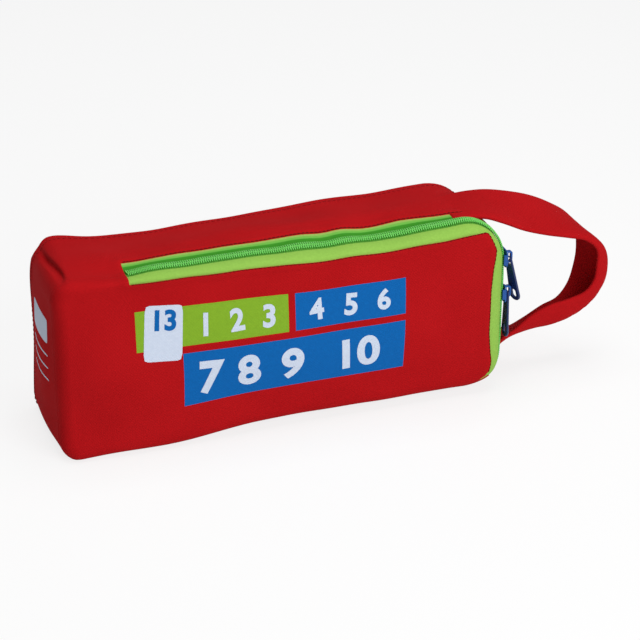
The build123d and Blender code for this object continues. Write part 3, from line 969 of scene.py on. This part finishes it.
def splineThrough(points, spots):
    points = np.asarray(points, float)
    chord = np.concatenate([[0], np.cumsum(np.sqrt(np.linalg.norm(np.diff(points, axis=0), axis=1)))])
    chord /= chord[-1]
    slopes = np.gradient(points, chord, axis=0)
    at = np.clip(np.searchsorted(chord, spots, side="right") - 1, 0, len(points) - 2)
    width = (chord[at + 1] - chord[at])[:, None]
    t = ((spots - chord[at]) / width[:, 0])[:, None]
    h00, h10 = 2 * t ** 3 - 3 * t ** 2 + 1, t ** 3 - 2 * t ** 2 + t
    h01, h11 = -2 * t ** 3 + 3 * t ** 2, t ** 3 - t ** 2
    return h00 * points[at] + h10 * width * slopes[at] + h01 * points[at + 1] + h11 * width * slopes[at + 1]


def strapMesh():
    rails = [np.array([station[i] for station in strapStations]) for i in range(3)]
    count = int(lengthAlong(rails[1])[-1] / strap["step"])
    far, ridge, near = (splineThrough(rail, np.linspace(0, 1, count)) for rail in rails)
    m = strap["across"]
    sheet = []
    for a, b, c in zip(far, ridge, near):
        dense = splineThrough([a, (a + b) / 2, b, c], np.linspace(0, 1, 4 * m))
        steps = lengthAlong(dense)
        sheet.append(sampleLine(np.linspace(0, steps[-1], m + 1), steps, dense))
    sheet = np.array(sheet)
    sideways = np.gradient(sheet, axis=1)
    outward = unit(np.cross(sideways, np.gradient(sheet, axis=0)))
    sideways = unit(sideways)
    r = strap["wall"] / 2
    share = np.linspace(0, 1, m + 1)
    width = np.linalg.norm(np.diff(sheet, axis=1), axis=2).sum(1).mean()
    groove = strap["seamDepth"] * np.exp(-((share - strap["seamAt"]) * width / strap["seamWidth"]) ** 2)
    lengths = lengthAlong(sheet[:, m // 2])
    # round it at each station: across the outer side, round an edge, back across the inner side, round the other
    rings, uvs = [], []
    for n in range(count):
        ring, marks = [], []
        for way, columns, begin, sunk in ((1, range(m + 1), 0, np.zeros(m + 1)),
                                          (-1, range(m, -1, -1), 2 * width + 4, groove)):
            for k in columns:
                ring.append(sheet[n, k] + outward[n, k] * (way * (r - sunk[k])))
                marks.append((lengths[n], begin + way * share[k] * width))
            for turn in (45, 90, 135):
                a = math.radians(turn)
                bend = outward[n, k] * (r * math.cos(a)) + sideways[n, k] * (r * math.sin(a))
                ring.append(sheet[n, k] + way * bend)
                marks.append((lengths[n], begin + way * share[k] * width + turn / 45))
        rings.append(ring)
        uvs.append(marks)
    size = len(rings[0])
    points = np.array(rings).reshape(-1, 3)
    faces, marks = [], []
    for n in range(count - 1):
        for k in range(size):
            quad = [(n, k), (n, (k + 1) % size), (n + 1, (k + 1) % size), (n + 1, k)]
            faces.append([a * size + b for a, b in quad])
            closing = k == size - 1
            marks += [(uvs[a][0][0], 2 * width + 8) if closing and b == 0 else uvs[a][b] for a, b in quad]
    for n, ring in ((0, range(size)[::-1]), (count - 1, range(size))):
        faces.append([n * size + b for b in ring])
        marks += [uvs[n][b] for b in ring]
    return newPiece("strap", points, faces, [strapCloth], marks)


strapPiece = strapMesh()
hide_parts("handle_loop", "handle_root_upper", "handle_root_lower")
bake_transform(strapPiece)
print("strap:", len(strapPiece.data.polygons), "faces")

for nodeName, finish in (("upper_slider", sliderLacquer), ("lower_slider", sliderLacquer),
                         ("upper_pull", pullLacquer), ("lower_pull", pullLacquer)):
    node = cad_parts[nodeName]
    node.data.materials.clear()
    node.data.materials.append(finish)


def whiteForCamera(tree, plain, white):
    path = addNode(tree, "ShaderNodeLightPath")
    seen = maths(tree, "MAXIMUM", path.outputs["Is Camera Ray"], path.outputs["Is Glossy Ray"])
    seen = maths(tree, "MAXIMUM", seen, path.outputs["Is Transmission Ray"])
    return addNode(tree, "ShaderNodeMixShader", None, {0: seen, 1: plain, 2: white}).outputs[0]


studio = {"reach": 3000.0, "below": 0.3, "floor": "#f2f2f2", "floorGlow": 0.8, "world": 0.225}
floor = newPiece("floor", [(a * studio["reach"], b * studio["reach"], -studio["below"])
                           for a, b in ((-1, -1), (1, -1), (1, 1), (-1, 1))], [[0, 1, 2, 3]], [])
floorMaterial, tree = newMaterial("floorPaper")
matt = addNode(tree, "ShaderNodeBsdfDiffuse", None, {"Color": linear(studio["floor"])})
glow = addNode(tree, "ShaderNodeEmission", None, {"Color": (1, 1, 1, 1), "Strength": 1.0})
pale = addNode(tree, "ShaderNodeMixShader", None, {0: studio["floorGlow"], 1: matt.outputs[0], 2: glow.outputs[0]})
surface = whiteForCamera(tree, matt.outputs[0], pale.outputs[0])
addNode(tree, "ShaderNodeOutputMaterial", None, {"Surface": surface})
floor.data.materials.append(floorMaterial)

world = bpy.data.worlds.new("studio")
bpy.context.scene.world = world
world.use_nodes = True
tree = world.node_tree
tree.nodes.clear()
dim = addNode(tree, "ShaderNodeBackground", None, {"Color": (1, 1, 1, 1), "Strength": studio["world"]})
bright = addNode(tree, "ShaderNodeBackground", None, {"Color": (1, 1, 1, 1), "Strength": 1.0})
addNode(tree, "ShaderNodeOutputWorld", None, {"Surface": whiteForCamera(tree, dim.outputs[0], bright.outputs[0])})


def addAimed(name, data, place, direction):
    item = bpy.data.objects.new(name, data)
    item.location = place
    item.rotation_mode = "QUATERNION"
    item.rotation_quaternion = direction.to_track_quat("-Z", "Y")
    bpy.context.scene.collection.objects.link(item)
    return item


lampSize, lampTarget = 900, (20, 0, 50)
lamps = {"frontLamp": ((500, -1300, 700), 15.0), "topLamp": ((60, 0, 1400), 11.0)}
for name, (place, power) in lamps.items():
    lamp = bpy.data.lights.new(name, "AREA")
    lamp.shape = "SQUARE"
    lamp.size = lampSize * mm
    lamp.energy = power
    addAimed(name, lamp, Vector(place) * mm, Vector(lampTarget) * mm - Vector(place) * mm)

shot = {"lens": 121.2, "azimuth": -18.62, "elevation": 27.86, "distance": 1263.2, "target": (32.56, 0, 47.08)}
azimuth, elevation = math.radians(shot["azimuth"]), math.radians(shot["elevation"])
back = Vector((math.sin(azimuth) * math.cos(elevation), -math.cos(azimuth) * math.cos(elevation), math.sin(elevation)))
lens = bpy.data.cameras.new("camera")
lens.lens = shot["lens"]
lens.sensor_width = 36
lens.clip_start, lens.clip_end = 0.05, 20
camera = addAimed("camera", lens, (Vector(shot["target"]) + back * shot["distance"]) * mm, -back)
bpy.context.scene.camera = camera
bpy.context.scene.view_settings.view_transform = "Standard"
